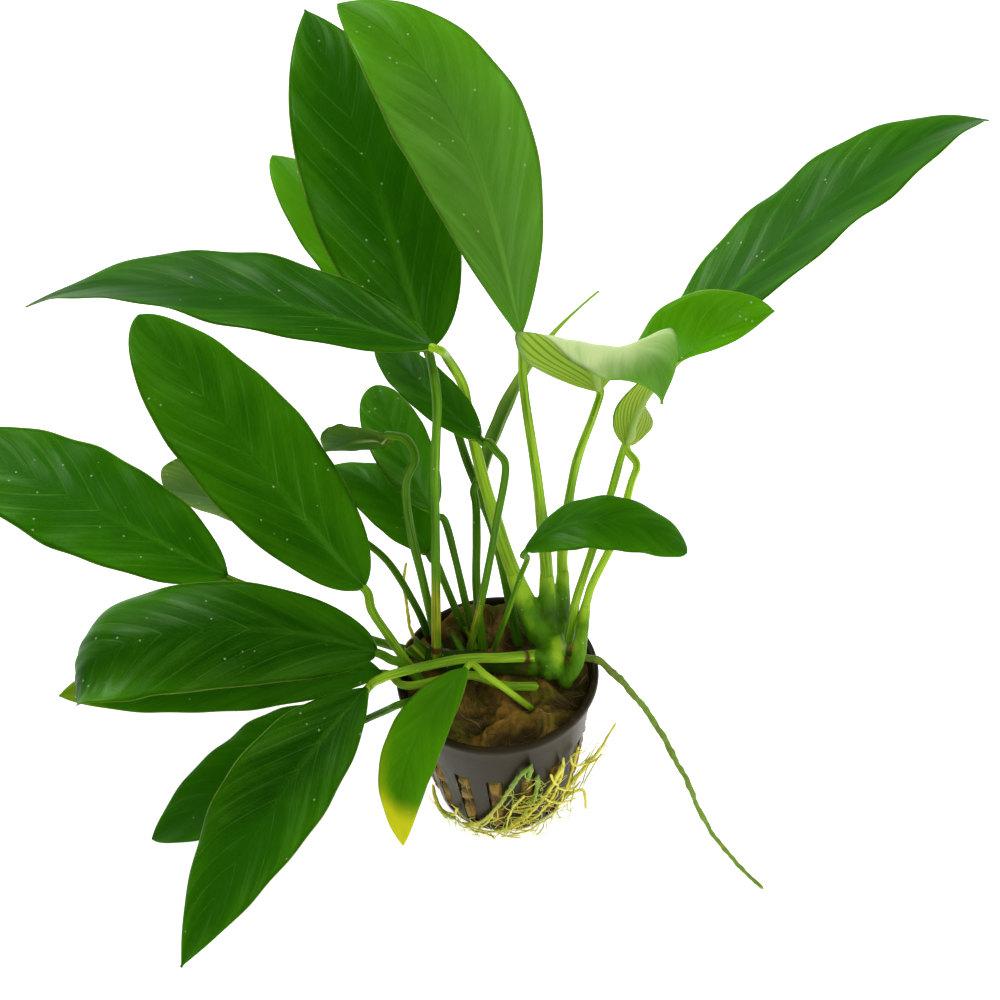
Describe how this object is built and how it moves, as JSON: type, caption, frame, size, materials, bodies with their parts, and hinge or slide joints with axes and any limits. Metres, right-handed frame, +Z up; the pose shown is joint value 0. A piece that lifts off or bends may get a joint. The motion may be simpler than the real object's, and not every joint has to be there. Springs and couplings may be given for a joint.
{
  "type": "potted aquarium plant",
  "caption": "Broad-leaved anubias on long stalks, its creeping rhizome lying on rock wool in a small round slotted net pot that stands on its flat base.",
  "frame": {"origin": "centre of the pot's flat underside", "axes": "+Z up along the pot's axis, -Y towards the side that the picture looks at, +X to the right in the picture"},
  "size_m": [0.2976, 0.1897, 0.1906],
  "materials": {
    "leaf": "satin",
    "stalk": "satin",
    "rhizome_skin": "satin",
    "root_skin": "satin",
    "wool": "matte",
    "pot_plastic": "satin"
  },
  "bodies": {
    "root": {"pot": "pot_plastic", "rock_wool": "wool", "rhizome": "rhizome_skin", "leaf_01": "leaf", "leaf_02": "leaf", "leaf_03": "leaf", "leaf_04": "leaf", "leaf_05": "leaf", "leaf_06": "leaf", "leaf_07": "leaf", "leaf_08": "leaf", "leaf_09": "leaf", "leaf_10": "leaf", "leaf_11": "leaf", "leaf_12": "leaf", "leaf_13": "leaf", "leaf_14": "leaf", "leaf_15": "leaf", "leaf_16": "leaf", "leaf_17": "leaf", "leaf_18": "leaf", "leaf_19": "leaf", "leaf_20": "leaf", "leaf_21": "leaf", "stalk_01": "stalk", "stalk_02": "stalk", "stalk_03": "stalk", "stalk_04": "stalk", "stalk_05": "stalk", "stalk_06": "stalk", "stalk_07": "stalk", "stalk_08": "stalk", "stalk_09": "stalk", "stalk_10": "stalk", "stalk_11": "stalk", "stalk_12": "stalk", "stalk_13": "stalk", "stalk_14": "stalk", "stalk_15": "stalk", "stalk_16": "stalk", "stalk_17": "stalk", "stalk_18": "stalk", "stalk_19": "stalk", "stalk_20": "stalk", "stalk_21": "stalk", "wall_root_1": "root_skin", "wall_root_2": "root_skin", "wall_root_3": "root_skin", "wall_root_4": "root_skin", "free_root_1": "root_skin", "free_root_2": "root_skin", "aerial_root": "root_skin"}
  },
  "joints": []
}
